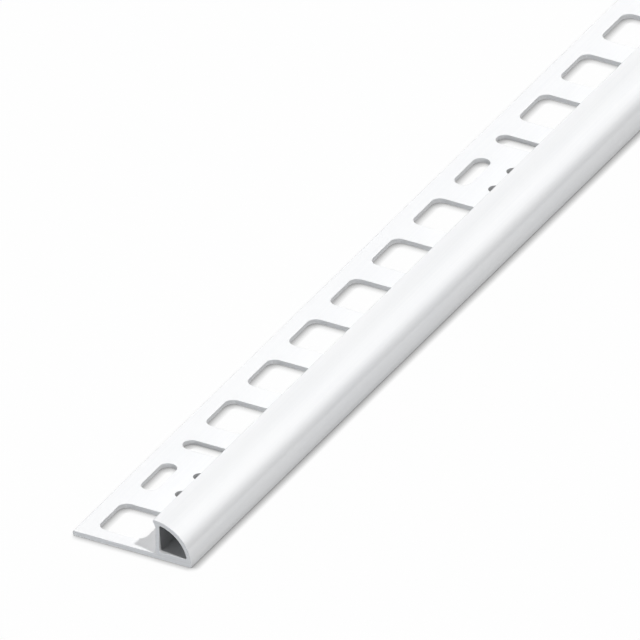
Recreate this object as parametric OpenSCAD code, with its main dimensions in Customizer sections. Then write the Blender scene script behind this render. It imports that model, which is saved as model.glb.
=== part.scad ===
// Quarter-round tile edge trim: one length of extruded plastic, punched along its anchoring leg.
// X runs across the trim, from the free edge of the leg to the toe of the nose.
// Y runs along the bar, and Z up from the face that beds on the wall or floor.
// The origin is at the middle of the bar, on its underside.

/* [Bar] */
// Length of the bar as cut
bar_length = 1000; // [200:10:3000]

/* [Section] */
// Overall height, which is also the outer radius of the nose
nose_radius = 10; // [8:0.5:14]
// Wall of the rounded nose
nose_wall = 1; // [0.8:0.05:1.5]
// Sole under the chamber
sole_thickness = 1.9; // [1.5:0.1:3]
// Upright web between the tile and the chamber
web_thickness = 1; // [0.8:0.05:1.5]
// How far the lip stands out over the tile side of the web
lip_overhang = 0.7; // [0.4:0.05:1.2]
// Thickness of the lip at its tip
lip_tip = 0.45; // [0.35:0.05:0.8]
// Depth of the lip where its sloping underside meets the web
lip_depth = 1.9; // [1.2:0.1:3]
// Width of the anchoring leg, from its free edge to the lip
leg_width = 20.5; // [19:0.5:30]
// Thickness of the anchoring leg
leg_thickness = 1.2; // [0.9:0.1:1.5]

/* [Edges] */
// Radius on the free edge of the leg, on the lip and on the toe
edge_radius = 0.3; // [0.1:0.05:0.35]
// Fillet at the foot of the web, on the tile side
foot_fillet = 0.6; // [0.2:0.1:1.5]
// Fillet in the corners of the chamber
chamber_fillet = 0.35; // [0.1:0.05:0.6]

/* [Punching] */
// Solid band between the free edge of the leg and the punched openings
edge_band = 4.1; // [3:0.1:6]
// Shortest solid band between an end of the bar and the first opening
end_band = 3.7; // [2:0.1:20]
// Bridge left between one opening and the next along the bar
bridge = 7.2; // [4:0.1:12]
// Width of a window, across the leg
window_width = 11.9; // [10.5:0.1:12.5]
// Length of a window, along the bar
window_length = 12.6; // [12:0.1:18]
// Corner radius of a window
window_corner = 2.3; // [0.5:0.1:4]
// Windows in a run between one fixing cell and the next
windows_in_run = 6; // [1:1:12]
// Width of the fixing slots, which have round ends
slot_width = 4.2; // [3:0.1:5]
// Diameter of the nail holes beside the web
nail_hole = 3.2; // [2:0.1:3.5]
// Distance between the two nail holes of a fixing cell
nail_spacing = 8.7; // [7:0.1:9]

/* [Hidden] */
$fn = 96;

// Places across the section, from the free edge of the leg
lip_x = leg_width;
web_x = lip_x + lip_overhang;
chamber_x = web_x + web_thickness;
trim_width = lip_x + nose_radius;
chamber_radius = nose_radius - nose_wall;

// Overshoot of a cutting shape past what it cuts
past = 1;
// Excess of a rounding arc over its radius, so that it crosses the walls it blends and doesn't just touch them
hair = 0.001;

// Order of the openings in one repeat, from the near end of the bar
stations = concat(["window", "fixing", "cross"], [for (i = [2 : windows_in_run]) "window"]);
repeat_length = station_start(len(stations));
repeats = ceil(bar_length / repeat_length);

// Length that an opening takes up along the bar
function station_length(kind) = kind == "cross" ? slot_width : window_length;

// Distance from the start of a repeat to its station i
function station_start(i) =
    i == 0 ? 0 : station_start(i - 1) + station_length(stations[i - 1]) + bridge;

// Other side of a right-angled triangle
function side(hypotenuse, known) = sqrt(hypotenuse * hypotenuse - known * known);

// Corner to take off between two directions outside a circle, so that the circle's arc is left
module corner(centre, radius, from, to) {
    reach = 3 * radius;
    middle = (from + to) / 2;
    translate(centre)
        difference() {
            polygon([
                [0, 0],
                reach * [cos(from), sin(from)],
                2 * reach * [cos(middle), sin(middle)],
                reach * [cos(to), sin(to)]
            ]);
            circle(radius + hair);
        }
}

// Strip of the anchoring leg with its free edge rounded
module leg_section() {
    difference() {
        square([chamber_x, leg_thickness]);
        corner([edge_radius, edge_radius], edge_radius, 180, 270);
        corner([edge_radius, leg_thickness - edge_radius], edge_radius, 90, 180);
    }
}

// Quarter disc behind the lip, with the lip and the toe rounded
module nose_section() {
    inset = side(nose_radius - edge_radius, edge_radius);
    tilt = atan2(edge_radius, inset);
    translate([lip_x, 0])
        difference() {
            intersection() {
                circle(nose_radius);
                square(nose_radius);
            }
            corner([edge_radius, inset], edge_radius, 90 - tilt, 180);
            corner([inset, edge_radius], edge_radius, -90, tilt);
        }
}

// Space for the tile's edge, below the sloping underside of the lip
module tile_pocket() {
    polygon([
        [lip_x - past, leg_thickness],
        [web_x, leg_thickness],
        [web_x, nose_radius - lip_depth],
        [lip_x, nose_radius - lip_tip],
        [lip_x - past, nose_radius - lip_tip]
    ]);
}

// Concave fillet where the leg meets the web
module foot_section() {
    translate([web_x - foot_fillet, leg_thickness])
        difference() {
            square(foot_fillet);
            translate([0, foot_fillet]) circle(foot_fillet);
        }
}

// Hollow behind the nose: a quarter disc cut off by the web and the sole
module chamber_section() {
    left = chamber_x - lip_x + chamber_fillet;
    floor_z = sole_thickness + chamber_fillet;
    top_z = side(chamber_radius - chamber_fillet, left);
    right = side(chamber_radius - chamber_fillet, floor_z);
    translate([lip_x, 0])
        difference() {
            intersection() {
                circle(chamber_radius);
                translate([chamber_x - lip_x, sole_thickness]) square(nose_radius);
            }
            corner([left, floor_z], chamber_fillet, 180, 270);
            corner([left, top_z], chamber_fillet, atan2(top_z, left), 180);
            corner([right, floor_z], chamber_fillet, -90, atan2(floor_z, right));
        }
}

// Whole section as it leaves the die
module trim_section() {
    difference() {
        union() {
            leg_section();
            difference() {
                nose_section();
                tile_pocket();
            }
            foot_section();
        }
        chamber_section();
    }
}

// Rectangle with round corners, from its lower left corner
module rounded_window(size, radius) {
    translate([radius, 0]) square([size.x - 2 * radius, size.y]);
    translate([0, radius]) square([size.x, size.y - 2 * radius]);
    for (x = [radius, size.x - radius], y = [radius, size.y - radius])
        translate([x, y]) circle(radius);
}

// Slot with round ends from the origin, along X unless it is longer in Y
module round_slot(size) {
    radius = min(size) / 2;
    far_end = size - [radius, radius];
    if (size.x > size.y)
        translate([radius, 0]) square([size.x - 2 * radius, size.y]);
    else
        translate([0, radius]) square([size.x, size.y - 2 * radius]);
    translate([radius, radius]) circle(radius);
    translate(far_end) circle(radius);
}

// Long slot by the free edge and two nail holes in line with the web side of the windows
module fixing_cell() {
    round_slot([slot_width, window_length]);
    for (along = [-1, 1] * nail_spacing / 2)
        translate([window_width - nail_hole / 2, window_length / 2 + along])
            circle(d = nail_hole);
}

// One opening of the punching, from its own lower left corner
module opening(kind) {
    if (kind == "window") rounded_window([window_width, window_length], window_corner);
    if (kind == "fixing") fixing_cell();
    if (kind == "cross") round_slot([window_width, slot_width]);
}

// Every opening that leaves its end bands whole, from the near left corner of the leg
module punching() {
    for (n = [0 : repeats - 1], i = [0 : len(stations) - 1]) {
        start = end_band + n * repeat_length + station_start(i);
        if (start + station_length(stations[i]) + end_band <= bar_length)
            translate([edge_band, start]) opening(stations[i]);
    }
}

module tile_edge_trim() {
    color("white")
        translate([-trim_width / 2, -bar_length / 2, 0])
            difference() {
                translate([0, bar_length, 0])
                    rotate([90, 0, 0])
                        linear_extrude(bar_length) trim_section();
                translate([0, 0, -past])
                    linear_extrude(leg_thickness + 2 * past) punching();
            }
}

tile_edge_trim();
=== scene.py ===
"""Tile edge trim: a quarter-round plastic bar with a punched leg, its finish and a plain stage."""

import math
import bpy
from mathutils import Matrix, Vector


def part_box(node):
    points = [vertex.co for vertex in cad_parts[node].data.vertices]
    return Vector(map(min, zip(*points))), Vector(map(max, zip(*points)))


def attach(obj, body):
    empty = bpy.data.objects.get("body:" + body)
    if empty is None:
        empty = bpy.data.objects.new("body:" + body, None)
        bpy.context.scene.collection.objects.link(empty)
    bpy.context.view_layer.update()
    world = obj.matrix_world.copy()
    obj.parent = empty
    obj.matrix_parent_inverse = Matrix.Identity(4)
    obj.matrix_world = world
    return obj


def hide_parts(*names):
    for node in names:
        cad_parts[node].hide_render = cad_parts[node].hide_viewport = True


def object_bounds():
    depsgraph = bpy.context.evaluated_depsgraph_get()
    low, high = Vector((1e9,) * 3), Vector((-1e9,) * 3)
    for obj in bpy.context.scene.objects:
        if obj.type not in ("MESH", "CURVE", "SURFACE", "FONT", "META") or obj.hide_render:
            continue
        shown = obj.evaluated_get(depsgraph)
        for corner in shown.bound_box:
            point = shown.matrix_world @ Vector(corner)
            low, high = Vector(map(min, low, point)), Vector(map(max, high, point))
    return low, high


bl_info = {
    "name": "Tile Edge Trim",
    "version": (1, 0, 0),
    "blender": (4, 5, 0),
    "location": "View3D > Sidebar > Trim",
    "description": "Dresses a packed tile edge trim: the punched bar, its white plastic and a plain stage",
    "category": "Add Mesh",
}

import bmesh
import bpy
import numpy as np
from bpy.props import FloatProperty, FloatVectorProperty, IntProperty, PointerProperty
from mathutils import Matrix, Vector

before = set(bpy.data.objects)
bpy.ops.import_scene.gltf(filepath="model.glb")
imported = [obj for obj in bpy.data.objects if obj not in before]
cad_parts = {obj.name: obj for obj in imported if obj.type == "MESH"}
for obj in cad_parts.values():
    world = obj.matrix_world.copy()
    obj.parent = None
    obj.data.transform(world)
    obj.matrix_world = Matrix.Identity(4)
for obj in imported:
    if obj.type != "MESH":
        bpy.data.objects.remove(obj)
cad_low, cad_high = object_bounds()

MM = 0.001
PICTURE = 640
NODE = "tile_edge_trim"
PIECE = "trim_bar"
BODY = "root"
SLOT = "white_pvc"


def size(name, millimetres, description):
    """A length that a user may change, given in millimetres and kept in metres."""
    return FloatProperty(
        name=name, description=description, default=millimetres * MM, min=0, unit="LENGTH", precision=5
    )


def share(name, default, description):
    """A number from 0 to 1 that a user may change."""
    return FloatProperty(name=name, description=description, default=default, min=0, max=1, subtype="FACTOR")


def amount(name, default, description):
    """A plain number that a user may change."""
    return FloatProperty(name=name, description=description, default=default, precision=3)


def turn(name, degrees, description):
    """An angle that a user may change, given in degrees and kept in radians."""
    return FloatProperty(name=name, description=description, default=math.radians(degrees), subtype="ANGLE")


def colour(name, default, description):
    """A colour that a user may change."""
    return FloatVectorProperty(
        name=name, description=description, default=default, size=3, min=0, max=1, subtype="COLOR"
    )


class TrimSection(bpy.types.PropertyGroup):
    """Sizes of the section as it leaves the die."""

    nose_radius: size("Nose radius", 10, "Overall height, which is also the outer radius of the nose")
    nose_wall: size("Nose wall", 1, "Wall of the rounded nose")
    sole_thickness: size("Sole", 1.9, "Thickness of the sole under the chamber")
    web_thickness: size("Web", 1, "Thickness of the upright web between the tile and the chamber")
    lip_overhang: size("Lip overhang", 0.7, "How far the lip stands out over the tile side of the web")
    lip_tip: size("Lip tip", 0.45, "Thickness of the lip at its tip")
    lip_depth: size("Lip depth", 1.9, "Depth of the lip where its sloping underside meets the web")
    leg_width: size("Leg width", 20.5, "Width of the anchoring leg, from its free edge to the lip")
    leg_thickness: size("Leg thickness", 1.2, "Thickness of the anchoring leg")
    edge_radius: size("Edge radius", 0.3, "Radius on the free edge of the leg, on the lip and on the toe")
    foot_fillet: size("Foot fillet", 0.6, "Fillet at the foot of the web, on the tile side")
    chamber_fillet: size("Chamber fillet", 0.35, "Fillet in the corners of the chamber")
    cut_chamfer: size("Cut chamfer", 0.06, "Chamfer that deburring leaves round the sawn ends")


class TrimPunching(bpy.types.PropertyGroup):
    """Sizes of the openings that are punched through the leg."""

    edge_band: size("Edge band", 4.1, "Solid band between the free edge of the leg and the openings")
    end_band: size("End band", 3.7, "Shortest solid band between an end of the bar and an opening")
    bridge: size("Bridge", 7.2, "Bridge left between one opening and the next along the bar")
    window_width: size("Window width", 11.9, "Width of a window, across the leg")
    window_length: size("Window length", 12.6, "Length of a window, along the bar")
    window_corner: size("Window corner", 2.3, "Corner radius of a window")
    windows_in_run: IntProperty(
        name="Windows in a run", description="Windows from one fixing cell to the next", default=6, min=1
    )
    slot_width: size("Slot width", 4.2, "Width of the fixing slots, which have round ends")
    nail_hole: size("Nail hole", 3.2, "Diameter of the nail holes beside the web")
    nail_spacing: size("Nail spacing", 8.7, "Distance between the two nail holes of a fixing cell")
    entry_radius: size("Entry radius", 0.06, "Rounding that the punch draws down where it enters the leg")
    exit_radius: size("Exit radius", 0.04, "Rounding where the punch leaves the leg")


class TrimFinish(bpy.types.PropertyGroup):
    """Colours and gloss of the plastic."""

    skin: colour("Skin", (0.915, 0.92, 0.928), "Colour of the extruded skin")
    skin_deep: colour("Skin, deeper", (0.888, 0.896, 0.91), "Colour of the skin in its faint streaks")
    # Painted shade in part: the punched walls are greyer than the skin, partly for their duller cut and
    # partly for the shade inside the openings
    punched: colour("Punched", (0.73, 0.733, 0.738), "Colour of the walls that the punch sheared clean")
    torn: colour("Torn", (0.8, 0.803, 0.808), "Colour of the walls lower down, where the plastic has torn")
    # Painted shade: the walls of the nail holes get a dark grey that stands in for the shade under the lip,
    # not a colour of the plastic
    nail_wall_shade: colour("Nail holes", (0.42, 0.422, 0.425), "Colour of the walls of the nail holes")
    sawn: colour("Sawn", (0.93, 0.935, 0.945), "Colour of the sawn ends")
    sawn_deep: colour("Sawn, deeper", (0.87, 0.876, 0.888), "Colour of the saw's marks on the ends")
    # Painted shade: the chamber's skin is the same white plastic, darkened here to stand in for the shade
    # inside the chamber
    inner: colour("Inner", (0.64, 0.644, 0.65), "Colour of the dull skin inside the chamber")
    skin_roughness: share("Skin roughness", 0.07, "Roughness of the extruded skin")
    inner_roughness: share("Inner roughness", 0.42, "Roughness of the skin inside the chamber")
    cut_roughness: share("Cut roughness", 0.52, "Roughness of sawn and punched faces")
    ior: amount("Index of refraction", 1.53, "Index of refraction of rigid PVC")


class TrimStage(bpy.types.PropertyGroup):
    """Floor, light and camera."""

    azimuth: turn("Azimuth", 28.2, "Turn of the camera round the bar, from its near end towards its nose")
    elevation: turn("Elevation", 31.5, "Height of the camera above the horizon")
    view_width: size("View width", 144.8, "Width of the picture at the bar")
    corner_right: amount("Corner, right", 72.7, "Pixels from the picture's left to the leg's near corner")
    corner_down: amount("Corner, down", 530.4, "Pixels from the picture's top to the leg's near corner")
    floor_reach: size("Floor reach", 3000, "Half of the floor's width")
    floor_white: colour("Floor", (0.97, 0.97, 0.97), "Colour of the floor as it is seen")
    floor_grey: colour("Floor bounce", (0.16, 0.167, 0.174), "Colour of the floor as it lights the bar")
    floor_glow: share("Floor glow", 0.95, "Share of the seen floor that is its own white")
    contact_reach: size("Contact reach", 2.2, "How far the contact shadow reaches over the floor")
    contact_lean: turn("Contact lean", 42, "Lean of the contact shadow, towards the nose and the near end")
    contact_gain: amount("Contact gain", 1.07, "Gain of the floor's own white, which is cut off at 1")
    overhead: amount("Overhead", 0.15, "Light of a patch straight above")
    panel: amount("Panel", 2.6, "Light of a wide panel past the far end, which shines in the nose")
    fill: amount("Fill", 3.85, "Light of a low patch before the bar's near end")
    fill_tint: colour("Fill tint", (0.95, 0.975, 1), "Colour of the low patch before the near end")
    side: amount("Side", 2.0, "Light of a low patch on the side of the leg's free edge")
    backdrop: amount("Backdrop", 1.0, "Light of a low patch past the far end, mirrored at low views")
    ambient: amount("Ambient", 0.03, "Light from everywhere above the floor")
    key: amount("Key", 1.89, "Light of the sun lamp, from above the nose")
    key_spread: turn("Key spread", 4, "Width of the sun lamp, which softens its shadows")


# Steps of the arcs and grids
SECTION_STEPS = 8
NOSE_STEPS = 84
CELL_STEPS = 16
ENTRY_STEPS = 4
EXIT_STEPS = 3

WELD_DISTANCE = 1e-6
SHARP_ANGLE = math.radians(35)

# Marks of the faces, and the attributes that carry them to the finish
SKIN, PUNCHED, SAWN, INNER, NAIL_WALL_SHADE = range(5)
MARK_NAMES = {PUNCHED: "punched", SAWN: "sawn", INNER: "inner", NAIL_WALL_SHADE: "nail_wall_shade"}


def arc(centre, radius, start, end, steps=SECTION_STEPS):
    """Points on a circle from angle start to end, in degrees: centre plus radius times cosine and sine."""
    angle = np.radians(np.linspace(start, end, steps + 1))
    return np.asarray(centre) + radius * np.column_stack([np.cos(angle), np.sin(angle)])


def inset(outline, depth):
    """Closed outline moved into the plastic, which lies to the right of its direction.

    A point moves along the sum of the normals of its two sides, over one plus their product, times the depth.
    """
    sides = np.roll(outline, -1, axis=0) - outline
    ahead = np.column_stack([sides[:, 1], -sides[:, 0]]) / np.linalg.norm(sides, axis=1, keepdims=True)
    behind = np.roll(ahead, 1, axis=0)
    lengthening = 1 + np.sum(ahead * behind, axis=1, keepdims=True)
    return outline + depth * (ahead + behind) / lengthening


def section_parts(section):
    """Stretches of the outline, with the plastic on the right, and the two stretches of the chamber's loop.

    The nose is a quarter circle about a point under the lip's tip, and the chamber's arc has the same centre.
    The lip and the toe are small circles that touch the quarter circle from inside: their centres lie
    on its radius less their own, so each starts where its line from the middle meets the arc.
    """
    lip_x = section.leg_width
    web_x = lip_x + section.lip_overhang
    height, leg_top = section.nose_radius, section.leg_thickness
    small, foot = section.edge_radius, section.foot_fillet
    reach = math.sqrt((height - small) ** 2 - small**2)
    tilt = math.degrees(math.atan2(small, reach))
    edge = np.concatenate(
        [
            arc((small, small), small, -90, -180),
            arc((small, leg_top - small), small, 180, 90),
        ]
    )
    throat = np.concatenate(
        [
            arc((web_x - foot, leg_top + foot), foot, -90, 0),
            [(web_x, height - section.lip_depth), (lip_x, height - section.lip_tip)],
            arc((lip_x + small, reach), small, 180, 90 - tilt)[:-1],
        ]
    )
    dome = arc((lip_x, 0), height, 90 - tilt, tilt, NOSE_STEPS)
    toe = arc((lip_x + reach, small), small, tilt, -90)[1:]

    fillet = section.chamber_fillet
    inner = height - section.nose_wall - fillet
    left = section.lip_overhang + section.web_thickness + fillet
    low = section.sole_thickness + fillet
    top, right = math.sqrt(inner**2 - left**2), math.sqrt(inner**2 - low**2)
    start, end = math.degrees(math.atan2(low, right)), math.degrees(math.atan2(top, left))
    ceiling = arc((lip_x, 0), inner + fillet, start, end, NOSE_STEPS // 2)
    chamber_rest = np.concatenate(
        [
            arc((lip_x + left, top), fillet, end, 180)[1:],
            arc((lip_x + left, low), fillet, 180, 270),
            arc((lip_x + right, low), fillet, -90, start)[:-1],
        ]
    )
    return edge, throat, dome, toe, ceiling, chamber_rest


def opening_places(punching, length):
    """Kinds of the openings and their start and end along the bar, from its near end.

    The order of kinds repeats. Each opening takes its own length and a bridge, and the running sum
    of those gives the starts. Openings that would break into the far end band are left out.
    """
    order = ["window", "fixing", "cross"] + ["window"] * (punching.windows_in_run - 1)
    taken = np.array([punching.slot_width if kind == "cross" else punching.window_length for kind in order])
    repeats = math.ceil(length / np.sum(taken + punching.bridge))
    kinds, spans = np.tile(order, repeats), np.tile(taken, repeats)
    starts = punching.end_band + np.cumsum(spans + punching.bridge) - spans - punching.bridge
    kept = starts + spans + punching.end_band <= length
    return kinds[kept], starts[kept], (starts + spans)[kept]


def rounded_outline(half_width, half_length, radius, steps_across, steps_along):
    """Rounded rectangle about the origin, anticlockwise, as a row of points for each of its four sides.

    A side runs from the middle of one corner to the middle of the next: an eighth of a circle, a straight
    and another eighth, which take a quarter, a half and a quarter of its steps. Where there is no straight
    the two eighths share all the steps.
    """
    sides = []
    for facing, half_run, distance, steps in (
        (-90, half_width, half_length, steps_across),
        (0, half_length, half_width, steps_along),
        (90, half_width, half_length, steps_across),
        (180, half_length, half_width, steps_along),
    ):
        straight = max(half_run - radius, 0)
        bend = 0.25 if straight > WELD_DISTANCE else 0.5
        along = np.arange(steps) / steps
        lean = np.radians(np.interp(along, [0, bend, 1 - bend, 1], [-45, 0, 0, 45]))
        slide = np.interp(along, [bend, 1 - bend], [-straight, straight]) if bend < 0.5 else 0
        run, out = slide + radius * np.sin(lean), distance - radius + radius * np.cos(lean)
        cosine, sine = math.cos(math.radians(facing)), math.sin(math.radians(facing))
        sides.append(np.column_stack([out * cosine - run * sine, out * sine + run * cosine]))
    return np.concatenate(sides)


def cell_border(across, starts, ends, steps_along):
    """Border of each cell, anticlockwise from its near left corner.

    Along the bar it has even steps, and across the bar it has the given places.
    """
    step = np.arange(steps_along) / steps_along
    count, span = len(starts), (ends - starts)[:, None]
    near = np.broadcast_to(starts[:, None], (count, len(across) - 1))
    far = np.broadcast_to(ends[:, None], (count, len(across) - 1))
    up, down = starts[:, None] + span * step, ends[:, None] - span * step
    left, right = np.full(up.shape, across[0]), np.full(up.shape, across[-1])
    rising = np.broadcast_to(across[:-1], near.shape)
    falling = np.broadcast_to(across[:0:-1], far.shape)
    x = np.concatenate([rising, right, falling, left], axis=1)
    y = np.concatenate([near, up, far, down], axis=1)
    return np.stack([x, y], axis=-1)


def punched_cells(punching, thickness, across, starts, ends, steps_along, centres, hole):
    """Rings of points from each cell's border over its top, down through its hole and out over its underside.

    The hole's half width, half length and corner radius all grow by the same offset. It is the entry
    radius less its sine part at the top, nothing on the wall, and the exit radius less its sine part
    at the bottom.
    """
    entering = np.radians(np.linspace(0, 90, ENTRY_STEPS + 1))
    leaving = np.radians(np.linspace(90, 0, EXIT_STEPS + 1))
    entry, way_out = punching.entry_radius, punching.exit_radius
    offsets = np.concatenate([entry * (1 - np.sin(entering)), way_out * (1 - np.sin(leaving))])
    heights = np.concatenate([thickness - entry * (1 - np.cos(entering)), way_out * (1 - np.cos(leaving))])
    border = cell_border(across, starts, ends, steps_along)
    steps_across = len(across) - 1
    loops = [rounded_outline(*(np.array(hole) + offset), steps_across, steps_along) for offset in offsets]
    walls = centres[:, None, None, :] + np.stack(loops)
    flat = np.concatenate([border[:, None], walls, border[:, None]], axis=1)
    z = np.concatenate([[thickness], heights, [0]])
    z = np.broadcast_to(z[None, :, None, None], flat.shape[:3] + (1,))
    return np.concatenate([flat, z], axis=-1)


class Shell:
    """Patches of one piece, gathered as points, faces and marks, and welded into one mesh."""

    def __init__(self):
        self.points, self.faces, self.marks, self.count = [], [], [], 0

    def keep(self, points, faces, marks):
        """Adds points and faces of one patch, with a mark for each face."""
        self.points.append(points.reshape(-1, 3))
        self.faces.extend((faces + self.count).tolist())
        self.marks.append(np.broadcast_to(marks, len(faces)))
        self.count += len(self.points[-1])

    def grids(self, points, closed=False, marks=SKIN):
        """Adds like grids of points as quads, with one mark for all rows or one for each.

        Closed joins the last column to the first.
        """
        number, rows, columns = points.shape[:3]
        index = np.arange(rows * columns).reshape(rows, columns)
        if closed:
            index = np.column_stack([index, index[:, 0]])
        quad = np.stack([index[:-1, :-1], index[:-1, 1:], index[1:, 1:], index[1:, :-1]], axis=-1)
        row_marks = np.broadcast_to(marks, rows - 1)
        face_marks = np.tile(np.repeat(row_marks, quad.shape[1]), number)
        shift = (np.arange(number) * rows * columns)[:, None, None]
        self.keep(points, (quad.reshape(1, -1, 4) + shift).reshape(-1, 4), face_marks)

    def polygons(self, points, mark=SKIN):
        """Adds flat faces of equally many corners each."""
        number, corners = points.shape[:2]
        self.keep(points, np.arange(number * corners).reshape(number, corners), mark)

    def mesh(self, name):
        """One mesh of all patches, with coincident points merged and an attribute for each mark."""
        mesh = bpy.data.meshes.new(name)
        mesh.from_pydata(np.concatenate(self.points).tolist(), [], self.faces)
        marks = np.concatenate(self.marks)
        for mark, label in MARK_NAMES.items():
            chosen = (marks == mark).astype(np.float32)
            mesh.attributes.new(label, "FLOAT", "FACE").data.foreach_set("value", chosen)
        welding = bmesh.new()
        welding.from_mesh(mesh)
        bmesh.ops.remove_doubles(welding, verts=welding.verts, dist=WELD_DISTANCE)
        welding.to_mesh(mesh)
        welding.free()
        mesh.shade_smooth()
        mesh.set_sharp_from_angle(angle=SHARP_ANGLE)
        return mesh


def lifted(outline, y):
    """Outline across the bar, set upright at the given places along it: one row of points for each place."""
    flat = np.broadcast_to(outline[None], (len(y),) + outline.shape)
    along = np.broadcast_to(np.asarray(y, float)[:, None, None], flat.shape[:2] + (1,))
    return np.concatenate([flat[..., :1], along, flat[..., 1:]], axis=-1)


def bar_shell(section, punching, length):
    """The whole bar as patches, from the free edge of the leg and the near end of the bar.

    The punched strip of the leg is a row of cells, each from the middle of one bridge to the middle of the
    next. The free edge, the nose and the chamber are profiles carried along the bar, with a ring at each
    cell's border. Flat faces join the strip to the profiles, and each sawn end is a chamfer and two flat
    faces round the chamber.
    """
    shell = Shell()
    edge, throat, dome, toe, ceiling, chamber_rest = section_parts(section)
    nose = np.concatenate([throat, dome, toe])
    chamber = np.concatenate([ceiling, chamber_rest])
    kinds, starts, ends = opening_places(punching, length)
    chamfer, thickness = section.cut_chamfer, section.leg_thickness
    borders = np.concatenate([[chamfer], ends[:-1] + punching.bridge / 2, [length - chamfer]])
    near, far = borders[:-1], borders[1:]

    # Places across the punched strip: its left side, a line between long slots and nail holes, its right side
    first, width = punching.edge_band, punching.window_width
    strip_left, strip_right = first / 2, first + width + first / 3
    parting = first + (punching.slot_width + width - punching.nail_hole) / 2
    half = CELL_STEPS // 2
    left_half = np.linspace(strip_left, parting, half + 1)
    right_half = np.linspace(parting, strip_right, half + 1)
    across = np.concatenate([left_half, right_half[1:]])

    def punch(grid, begin, finish, steps, x, y, hole, mark=PUNCHED):
        """Adds like cells with a hole each, whose wall and lower rounding get the mark."""
        centres = np.column_stack([np.full(len(y), x), y])
        cells = punched_cells(punching, thickness, grid, begin, finish, steps, centres, hole)
        rows = [SKIN] * (ENTRY_STEPS + 1) + [mark] * (EXIT_STEPS + 1) + [SKIN]
        shell.grids(cells, closed=True, marks=rows)

    middles = (starts + ends) / 2
    middle_x = first + width / 2
    half_window = punching.window_length / 2
    slot_radius, nail_radius = punching.slot_width / 2, punching.nail_hole / 2
    window = (width / 2, half_window, punching.window_corner)
    cross = (width / 2, slot_radius, slot_radius)
    for kind, hole in (("window", window), ("cross", cross)):
        chosen = kinds == kind
        punch(across, near[chosen], far[chosen], CELL_STEPS, middle_x, middles[chosen], hole)
    fixing = kinds == "fixing"
    begin, finish, middle = near[fixing], far[fixing], middles[fixing]
    centre = (begin + finish) / 2
    long_slot = (slot_radius, half_window, slot_radius)
    punch(left_half, begin, finish, CELL_STEPS, first + slot_radius, middle, long_slot)
    nail_x, nail = first + width - nail_radius, (nail_radius, nail_radius, nail_radius)
    half_spacing = punching.nail_spacing / 2
    # The nail holes' walls get a mark of their own, which carries painted shade
    punch(right_half, begin, centre, half, nail_x, middle - half_spacing, nail, mark=NAIL_WALL_SHADE)
    punch(right_half, centre, finish, half, nail_x, middle + half_spacing, nail, mark=NAIL_WALL_SHADE)

    # Profiles carried along the bar
    for profile, closed, mark in ((edge, False, SKIN), (nose, False, SKIN), (chamber, True, INNER)):
        shell.grids(lifted(profile, borders)[None], closed=closed, marks=mark)

    # Flat faces between the punched strip and the profiles
    steps = np.linspace(0, 1, CELL_STEPS + 1)
    rise = near[:, None] + (far - near)[:, None] * steps
    pair = np.column_stack([far, near])

    def level(y, x, z):
        """Points at one place across the bar and one height."""
        return np.stack([np.full(y.shape, x), y, np.full(y.shape, z)], axis=-1)

    for z, edge_x, nose_x, order in (
        (thickness, edge[-1, 0], nose[0, 0], 1),
        (0, edge[0, 0], nose[-1, 0], -1),
    ):
        left = np.concatenate([level(pair, edge_x, z), level(rise, strip_left, z)], axis=1)
        right = np.concatenate(
            [level(rise[:, ::-1], strip_right, z), level(pair[:, ::-1], nose_x, z)], axis=1
        )
        shell.polygons(left[:, ::order])
        shell.polygons(right[:, ::order])

    # Sawn ends
    top = np.column_stack([across, np.full(len(across), thickness)])
    underside = np.column_stack([across[::-1], np.zeros(len(across))])
    outline = np.concatenate([dome, toe, underside, edge, top, throat])
    for loop in (outline, chamber):
        shrunk = inset(loop, chamfer)
        for y, outer in ((0, chamfer), (length, length - chamfer)):
            rows = [lifted(shrunk, [y]), lifted(loop, [outer])]
            ring = np.concatenate(rows if y < outer else rows[::-1])
            shell.grids(ring[None], closed=True)
    face, hollow = inset(outline, chamfer), inset(chamber, chamfer)
    last_dome, last_ceiling = len(dome) - 1, len(ceiling) - 1
    band = np.concatenate([face[: last_dome + 1], hollow[: last_ceiling + 1]])
    rest = np.concatenate([face[last_dome:], face[:1], hollow[last_ceiling:], hollow[:1]])
    for flat in (band, rest):
        shell.polygons(lifted(flat[::-1], [0]), mark=SAWN)
        shell.polygons(lifted(flat, [length]), mark=SAWN)
    return shell


# Sockets of a Mix node that are for colours
MIX_SHARE, MIX_FIRST, MIX_SECOND, MIX_RESULT = 0, 6, 7, 2


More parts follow.
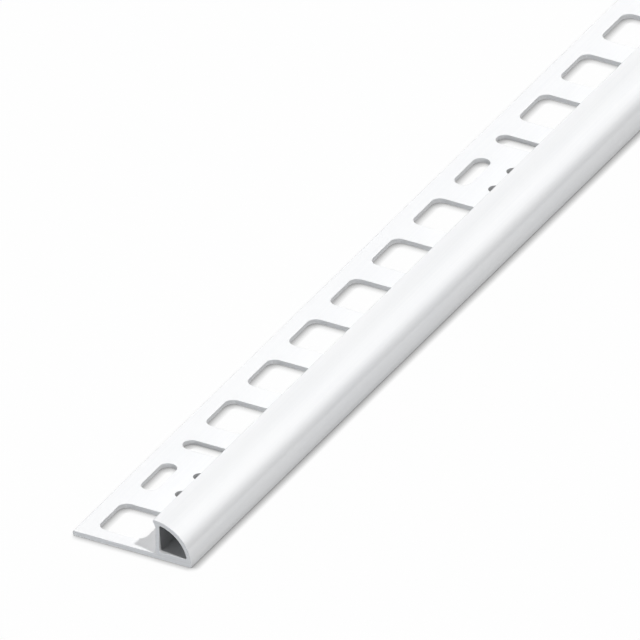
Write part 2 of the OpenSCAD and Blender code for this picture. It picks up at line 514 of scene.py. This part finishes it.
class Wire:
    """A value in a shader's node tree; arithmetic on it adds Math nodes to that tree."""

    def __init__(self, tree, socket=None):
        self.tree, self.socket = tree, socket

    def node(self, kind, settings=(), inputs=(), output=0):
        """Adds a node of that kind: first its settings, then a value or a link for each input."""
        made = self.tree.nodes.new(kind)
        for name, value in dict(settings).items():
            setattr(made, name, value)
        for name, value in dict(inputs).items():
            if isinstance(value, Wire):
                self.tree.links.new(value.socket, made.inputs[name])
            else:
                made.inputs[name].default_value = value
        return Wire(self.tree, made.outputs[output] if len(made.outputs) else None)

    def other(self, name):
        """Another output of the same node."""
        return Wire(self.tree, self.socket.node.outputs[name])

    def math(self, operation, *values):
        """A Math node on these values."""
        return self.node("ShaderNodeMath", {"operation": operation}, enumerate(values))

    def ramp(self, low, high):
        """Smooth step from 0 at low to 1 at high."""
        limits = {"Value": self, "From Min": low, "From Max": high}
        return self.node("ShaderNodeMapRange", {"interpolation_type": "SMOOTHSTEP"}, limits)

    def blend(self, first, second):
        """Colour between two colours, with this value as the share of the second."""
        inputs = {MIX_SHARE: self, MIX_FIRST: first, MIX_SECOND: second}
        return self.node("ShaderNodeMix", {"data_type": "RGBA"}, inputs, output=MIX_RESULT)

    def __add__(self, value):
        return self.math("ADD", self, value)

    def __radd__(self, value):
        return self.math("ADD", value, self)

    def __sub__(self, value):
        return self.math("SUBTRACT", self, value)

    def __rsub__(self, value):
        return self.math("SUBTRACT", value, self)

    def __mul__(self, value):
        return self.math("MULTIPLY", self, value)

    def __rmul__(self, value):
        return self.math("MULTIPLY", value, self)


def opaque(rgb):
    """Colour with full alpha, as a shader's socket takes it."""
    return (*rgb, 1.0)


def marked(wire, mark):
    """Value that is 1 on the faces with that mark and 0 on the others."""
    return wire.node("ShaderNodeAttribute", {"attribute_name": MARK_NAMES[mark]}, output="Fac")


def noise_along(wire, place, stretch, scale, detail):
    """Noise on Object coordinates times stretch, so that it runs long where stretch is small."""
    vector = wire.node("ShaderNodeVectorMath", {"operation": "MULTIPLY"}, {0: place, 1: stretch})
    return wire.node("ShaderNodeTexNoise", {}, {"Vector": vector, "Scale": scale, "Detail": detail})


# Noises of the plastic, each by its stretch, scale and detail
DIE_LINES = ((1, 0.012, 1), 2600, 3)
WAVES = ((1, 0.2, 1), 220, 2)
CLOUDS = ((1, 0.3, 1), 60, 2)
SHEAR = ((1, 1, 0.08), 4200, 2)
SAW_TEETH = ((0.04, 1, 1), 3400, 3)
NOISE_MEAN = 0.5

# Share of the die lines in the streaks, the rest being clouds, and where noise turns one tone into the next
STREAK_SHARE = 0.5
STREAK_LIMITS = (0.4, 0.65)
SAW_LIMITS = (0.4, 0.62)

# Heights between which a punched wall goes from torn to clean, and how far the shear noise lowers them
TORN_LIMITS = (0.6 * MM, 0.8 * MM)
TORN_RAGGED = 0.3 * MM

# How much each noise moves the roughness, and what tearing adds to it
DIE_DULLING = 0.03
CLOUD_DULLING = 0.01
CUT_DULLING = 0.08
TORN_DULLING = 0.14

# Height of each relief, as a multiple of the bump's own
DIE_RELIEF = 0.08
WAVE_RELIEF = 0.25
TORN_RELIEF = 3
SAW_RELIEF = 2
BUMP_STRENGTH = 0.35
BUMP_HEIGHT = 0.02 * MM


def white_pvc(finish):
    """White extruded plastic, with the marks that each way of working has left on it, and painted shade.

    The skin has faint die lines and slow waves along the bar. Punched walls are clean above and torn
    below, and their grey is partly painted shade. The walls of the nail holes are painted darker still, as
    painted shade. The sawn ends have fine lines across the bar, and the chamber is dull and darkened with
    painted shade.
    """
    material = bpy.data.materials.new(SLOT)
    material.use_nodes = True
    tree = material.node_tree
    tree.nodes.clear()
    wire = Wire(tree)
    place = wire.node("ShaderNodeTexCoord", output="Object")
    height = wire.node("ShaderNodeSeparateXYZ", {}, {0: place}, output="Z")
    nail_wall_shade = marked(wire, NAIL_WALL_SHADE)
    punched = marked(wire, PUNCHED) + nail_wall_shade
    sawn = marked(wire, SAWN)
    inner = marked(wire, INNER)
    worked = punched + sawn
    skin = 1 - worked

    die_lines = noise_along(wire, place, *DIE_LINES)
    waves = noise_along(wire, place, *WAVES)
    clouds = noise_along(wire, place, *CLOUDS)
    shear = noise_along(wire, place, *SHEAR)
    teeth = noise_along(wire, place, *SAW_TEETH)
    streaks = (die_lines * STREAK_SHARE + clouds * (1 - STREAK_SHARE)).ramp(*STREAK_LIMITS)
    torn = punched * (1 - (height + shear * TORN_RAGGED).ramp(*TORN_LIMITS))
    saw_marks = teeth.ramp(*SAW_LIMITS)

    tone = streaks.blend(opaque(finish.skin), opaque(finish.skin_deep))
    # Punched walls: grey that is partly painted shade
    tone = punched.blend(tone, torn.blend(opaque(finish.punched), opaque(finish.torn)))
    # Painted shade: the walls of the nail holes are painted dark grey
    tone = nail_wall_shade.blend(tone, opaque(finish.nail_wall_shade))
    tone = sawn.blend(tone, saw_marks.blend(opaque(finish.sawn), opaque(finish.sawn_deep)))
    # Painted shade inside the chamber
    tone = inner.blend(tone, opaque(finish.inner))

    glossy = finish.skin_roughness + (die_lines - NOISE_MEAN) * DIE_DULLING
    glossy = glossy + (clouds - NOISE_MEAN) * CLOUD_DULLING
    dull = finish.cut_roughness + (shear + teeth - 2 * NOISE_MEAN) * CUT_DULLING + torn * TORN_DULLING
    roughness = glossy * skin + dull * worked + inner * (finish.inner_roughness - finish.skin_roughness)

    relief = skin * (die_lines * DIE_RELIEF + waves * WAVE_RELIEF)
    relief = relief + shear * (punched + torn * TORN_RELIEF) + sawn * teeth * SAW_RELIEF
    bump_inputs = {"Strength": BUMP_STRENGTH, "Distance": BUMP_HEIGHT, "Height": relief}
    bump = wire.node("ShaderNodeBump", {}, bump_inputs)
    shader = wire.node(
        "ShaderNodeBsdfPrincipled",
        {},
        {"Base Color": tone, "Roughness": roughness, "IOR": finish.ior, "Normal": bump},
    )
    wire.node("ShaderNodeOutputMaterial", {}, {"Surface": shader})
    return material


class TRIM_OT_bar(bpy.types.Operator):
    """Make the punched bar with its finish, in place of the packed one"""

    bl_idname = "trim.bar"
    bl_label = "Make the bar"

    def execute(self, context):
        scene, section = context.scene, context.scene.trim_section
        low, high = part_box(NODE)
        mesh = bar_shell(section, scene.trim_punching, high.y - low.y).mesh(PIECE)
        width = section.leg_width + section.nose_radius
        mesh.transform(Matrix.Translation((-width / 2, low.y, 0)))
        bar = bpy.data.objects.new(PIECE, mesh)
        scene.collection.objects.link(bar)
        mesh.materials.append(white_pvc(scene.trim_finish))
        evened = bar.modifiers.new("even_normals", "WEIGHTED_NORMAL")
        evened.keep_sharp = True
        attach(bar, BODY)
        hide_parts(NODE)
        return {"FINISHED"}


# Level way from the contact shadow back to the bar
CONTACT_WAY = Vector((-2, 1, 0)).normalized()


def floor_finish(stage):
    """Pale floor: white to the camera, to mirrors and to glass, and grey to the light that it gives back.

    Most of its white is its own glow, which ambient occlusion dims close to the bar. The normal for that
    leans over to the bar from the side of the nose and of the near end, where the shadow reaches furthest.
    """
    material = bpy.data.materials.new("pale_floor")
    material.use_nodes = True
    material.cycles.emission_sampling = "NONE"
    tree = material.node_tree
    tree.nodes.clear()
    wire = Wire(tree)
    ray = wire.node("ShaderNodeLightPath", output="Is Camera Ray")
    seen = ray + ray.other("Is Glossy Ray") + ray.other("Is Transmission Ray")
    white = wire.node("ShaderNodeBsdfDiffuse", {}, {"Color": opaque(stage.floor_white)})
    grey = wire.node("ShaderNodeBsdfDiffuse", {}, {"Color": opaque(stage.floor_grey)})
    level = CONTACT_WAY * math.sin(stage.contact_lean)
    upright = math.cos(stage.contact_lean)
    leaning = wire.node("ShaderNodeCombineXYZ", {}, {"X": level.x, "Y": level.y, "Z": upright})
    nearby = {"Distance": stage.contact_reach, "Normal": leaning}
    contact = wire.node("ShaderNodeAmbientOcclusion", {}, nearby, output="AO") * stage.contact_gain
    glow = wire.node("ShaderNodeEmission", {}, {"Color": contact.math("MINIMUM", contact, 1)})
    pale = wire.node("ShaderNodeMixShader", {}, {0: stage.floor_glow, 1: white, 2: glow})
    surface = wire.node("ShaderNodeMixShader", {}, {0: seen, 1: grey, 2: pale})
    wire.node("ShaderNodeOutputMaterial", {}, {"Surface": surface})
    return material


# Patches of the sky, each by its middle and the cosines from there at which its light begins and is full
OVERHEAD_PATCH = ((0, 0, 1), 0.8, 0.97)
SIDE_PATCH = ((-1, 0.1, -0.03), 0.75, 0.95)
BACKDROP_PATCH = ((0, 1, 0.05), 0.85, 0.97)
FILL_PATCH = ((-0.25, -0.96, -0.12), 0.75, 0.95)
HORIZON_BLUR = 0.02

# Panel past the far end, by a direction's parts: a band along Y that fades in with height
# and is brighter on the side of the nose
PANEL_BEGINS = (0.66, 0.72)
PANEL_ENDS = (0.78, 0.84)
PANEL_RISES = (0.06, 0.47)
PANEL_BRIGHTENS = (-0.1, 0.5)
PANEL_GAIN = 0.62


def sky(scene, stage):
    """Soft surroundings: a panel, and patches overhead, by the leg and past either end of the bar."""
    scene.world = bpy.data.worlds.new("studio")
    scene.world.use_nodes = True
    tree = scene.world.node_tree
    tree.nodes.clear()
    wire = Wire(tree)
    direction = wire.node("ShaderNodeTexCoord", output="Generated")
    x = wire.node("ShaderNodeSeparateXYZ", {}, {0: direction})
    y, z = x.other("Y"), x.other("Z")
    above = z.ramp(-HORIZON_BLUR, HORIZON_BLUR)

    def patch(middle, begins, full):
        """Round patch of light about a direction, cut off at the horizon."""
        way = Vector(middle).normalized()
        return (x * way.x + y * way.y + z * way.z).ramp(begins, full) * above

    panel = y.ramp(*PANEL_BEGINS) * (1 - y.ramp(*PANEL_ENDS)) * z.ramp(*PANEL_RISES)
    panel = panel * (1 + PANEL_GAIN * x.ramp(*PANEL_BRIGHTENS))
    neutral = stage.overhead * patch(*OVERHEAD_PATCH) + stage.panel * panel + stage.ambient * above
    neutral = neutral + stage.side * patch(*SIDE_PATCH) + stage.backdrop * patch(*BACKDROP_PATCH)
    cool = stage.fill * patch(*FILL_PATCH)
    glow = wire.node("ShaderNodeBackground", {}, {"Color": opaque((1, 1, 1)), "Strength": neutral})
    front = wire.node("ShaderNodeBackground", {}, {"Color": opaque(stage.fill_tint), "Strength": cool})
    both = wire.node("ShaderNodeAddShader", {}, {0: glow, 1: front})
    wire.node("ShaderNodeOutputWorld", {}, {"Surface": both})


# Where the sun lamp stands, how far off the camera is, and how far the floor lies under the bar
KEY_WAY = Vector((0.53, -0.13, 0.83))
CAMERA_DISTANCE = 1.2
FLOOR_DROP = 0.01 * MM


class TRIM_OT_stage(bpy.types.Operator):
    """Lay the floor, set the light and point the camera"""

    bl_idname = "trim.stage"
    bl_label = "Set the stage"

    def execute(self, context):
        scene, stage = context.scene, context.scene.trim_stage
        scene.view_settings.view_transform = "Standard"
        sky(scene, stage)

        corners = np.array([(-1, -1), (1, -1), (1, 1), (-1, 1)]) * stage.floor_reach
        points = np.column_stack([corners, np.full(len(corners), -FLOOR_DROP)])
        floor_mesh = bpy.data.meshes.new("floor")
        floor_mesh.from_pydata(points.tolist(), [], [range(len(corners))])
        floor_mesh.materials.append(floor_finish(stage))
        floor = bpy.data.objects.new("floor", floor_mesh)
        scene.collection.objects.link(floor)

        key_data = bpy.data.lights.new("key", "SUN")
        key_data.energy, key_data.angle = stage.key, stage.key_spread
        key = bpy.data.objects.new("key", key_data)
        key.rotation_mode = "QUATERNION"
        key.rotation_quaternion = KEY_WAY.to_track_quat("Z", "Y")
        scene.collection.objects.link(key)

        cos_round, sin_round = math.cos(stage.azimuth), math.sin(stage.azimuth)
        cos_high, sin_high = math.cos(stage.elevation), math.sin(stage.elevation)
        right = Vector((cos_round, sin_round, 0))
        up = Vector((-sin_round * sin_high, cos_round * sin_high, cos_high))
        back = right.cross(up)
        pixel = stage.view_width / PICTURE
        corner = Vector((cad_low.x, cad_low.y, scene.trim_section.leg_thickness))
        aim = corner + right * (PICTURE / 2 - stage.corner_right) * pixel
        aim = aim + up * (stage.corner_down - PICTURE / 2) * pixel
        camera_data = bpy.data.cameras.new("camera")
        camera_data.type, camera_data.ortho_scale = "ORTHO", stage.view_width
        camera = bpy.data.objects.new("camera", camera_data)
        camera.location = aim + back * CAMERA_DISTANCE
        camera.rotation_mode = "QUATERNION"
        camera.rotation_quaternion = back.to_track_quat("Z", "Y")
        scene.collection.objects.link(camera)
        scene.camera = camera
        return {"FINISHED"}


class TRIM_PT_sidebar(bpy.types.Panel):
    """Sizes, finish and stage of the trim"""

    bl_idname = "TRIM_PT_sidebar"
    bl_label = "Tile Edge Trim"
    bl_space_type = "VIEW_3D"
    bl_region_type = "UI"
    bl_category = "Trim"

    def draw(self, context):
        for name, group in GROUPS.items():
            box = self.layout.box()
            box.label(text=group.__doc__)
            for field in group.__annotations__:
                box.prop(getattr(context.scene, name), field)
        for operator in OPERATORS:
            self.layout.operator(operator.bl_idname)


GROUPS = {
    "trim_section": TrimSection,
    "trim_punching": TrimPunching,
    "trim_finish": TrimFinish,
    "trim_stage": TrimStage,
}
OPERATORS = (TRIM_OT_bar, TRIM_OT_stage)
CLASSES = (*GROUPS.values(), *OPERATORS, TRIM_PT_sidebar)


def register():
    """Registers the classes and hangs the groups of sizes on the scene."""
    for made in CLASSES:
        bpy.utils.register_class(made)
    for name, group in GROUPS.items():
        setattr(bpy.types.Scene, name, PointerProperty(type=group))


def unregister():
    """Takes the groups off the scene again and unregisters the classes."""
    for name in GROUPS:
        delattr(bpy.types.Scene, name)
    for made in reversed(CLASSES):
        bpy.utils.unregister_class(made)


def main():
    """Makes the bar and the stage."""
    register()
    bpy.ops.trim.bar()
    bpy.ops.trim.stage()


if __name__ == "__main__":
    main()
